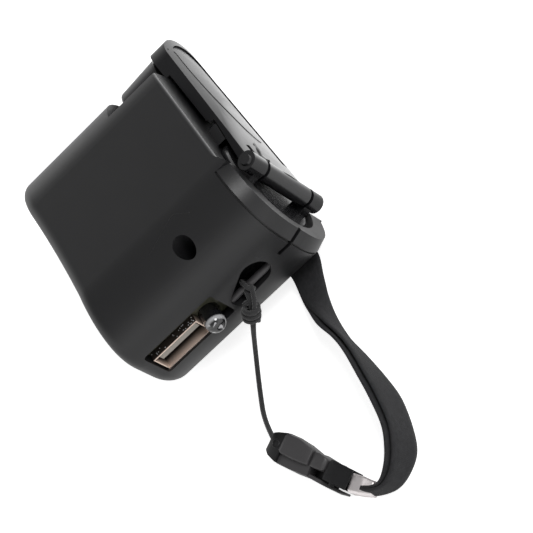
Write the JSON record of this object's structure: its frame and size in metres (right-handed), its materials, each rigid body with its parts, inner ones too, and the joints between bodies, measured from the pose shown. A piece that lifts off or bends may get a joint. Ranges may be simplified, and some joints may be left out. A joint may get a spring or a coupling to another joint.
{
  "type": "hand crank charger",
  "caption": "Pocket hand-crank phone charger: rounded case with a USB-A port and lamp in one end, folding crank with spinning grip, and a wrist lanyard with a side-release buckle.",
  "frame": {"origin": "middle of the flat back of the case, which the charger lies on", "axes": "+Z out of the front, +Y towards the crank side, +X towards the port end"},
  "size_m": [0.12, 0.0524, 0.036],
  "materials": {
    "brass": "satin",
    "can_sleeve": "satin",
    "case_plastic": "satin",
    "chip_plastic": "matte",
    "circuit_board": "satin",
    "clear_lens": "clear",
    "copper": "satin",
    "cord": "matte",
    "gear_plastic": "matte",
    "gloss_plastic": "gloss",
    "magnet": "matte",
    "plated_steel": "polished",
    "steel": "brushed",
    "webbing": "matte",
    "wire_jacket": "satin"
  },
  "bodies": {
    "case": {"anchor_pin": "steel", "bobbin": "gear_plastic", "buckle_socket": "gloss_plastic", "case_screw_1": "steel", "case_screw_2": "steel", "case_screw_3": "steel", "case_screw_4": "steel", "compound_pin": "steel", "cord_1": "cord", "cord_2": "cord", "diode_1": "chip_plastic", "diode_2": "chip_plastic", "diode_3": "chip_plastic", "diode_4": "chip_plastic", "front_shell": "case_plastic", "gear_plate": "steel", "generator_can": "steel", "generator_lid": "steel", "knot": "cord", "lamp": "clear_lens", "lamp_lead_1": "plated_steel", "lamp_lead_2": "plated_steel", "main_board": "circuit_board", "plate_screw_1": "steel", "plate_screw_2": "steel", "plate_screw_3": "steel", "plate_screw_4": "steel", "port_board": "circuit_board", "rear_shell": "case_plastic", "regulator": "chip_plastic", "stator_coil": "copper", "storage_capacitor": "can_sleeve", "supply_wire_1": "wire_jacket", "supply_wire_2": "wire_jacket", "usb_contact_1": "brass", "usb_contact_2": "brass", "usb_contact_3": "brass", "usb_contact_4": "brass", "usb_shell": "plated_steel", "usb_tongue": "gear_plastic"},
    "hub": {"hub": "gloss_plastic", "drive_gear": "gear_plastic", "hinge_pin": "steel"},
    "arm": {"crank_arm": "case_plastic", "arm_panel": "case_plastic", "grip_axle": "steel"},
    "grip": {"grip": "gloss_plastic"},
    "compound": {"compound_gear": "gear_plastic"},
    "rotor": {"rotor_pinion": "brass", "rotor_spindle": "steel", "magnet_rotor": "magnet"},
    "plug": {"buckle_plug": "gloss_plastic", "strap_tab": "webbing", "crimp": "plated_steel", "strap": "webbing", "strap_fold": "webbing"}
  },
  "joints": [
    {"name": "hub_spin", "type": "hinge", "parent": "case", "child": "hub", "pos_m": [0.0129, 0, 0.018], "axis": [0, 1, 0], "continuous": true, "deforming": ["strap", "strap_fold"]},
    {"name": "arm_fold", "type": "hinge", "parent": "hub", "child": "arm", "pos_m": [0.016, 0.0254, 0.018], "axis": [0, 0, -1], "range_deg": [0, 180]},
    {"name": "grip_spin", "type": "hinge", "parent": "arm", "child": "grip", "pos_m": [-0.0299, 0, 0.018], "axis": [0, 1, 0], "continuous": true},
    {"name": "compound_spin", "type": "hinge", "parent": "case", "child": "compound", "pos_m": [-0.0036, 0, 0.018], "axis": [0, 1, 0], "continuous": true},
    {"name": "rotor_spin", "type": "hinge", "parent": "case", "child": "rotor", "pos_m": [-0.0131, 0, 0.018], "axis": [0, 1, 0], "continuous": true},
    {"name": "buckle_release", "type": "slide", "parent": "case", "child": "plug", "axis": [0.892, 0.452, 0], "range_m": [0, 0.0092]}
  ],
  "couplings": [
    {"joint": "compound_spin", "follows": "hub_spin", "ratio": -4.5},
    {"joint": "rotor_spin", "follows": "hub_spin", "ratio": 12.6}
  ]
}
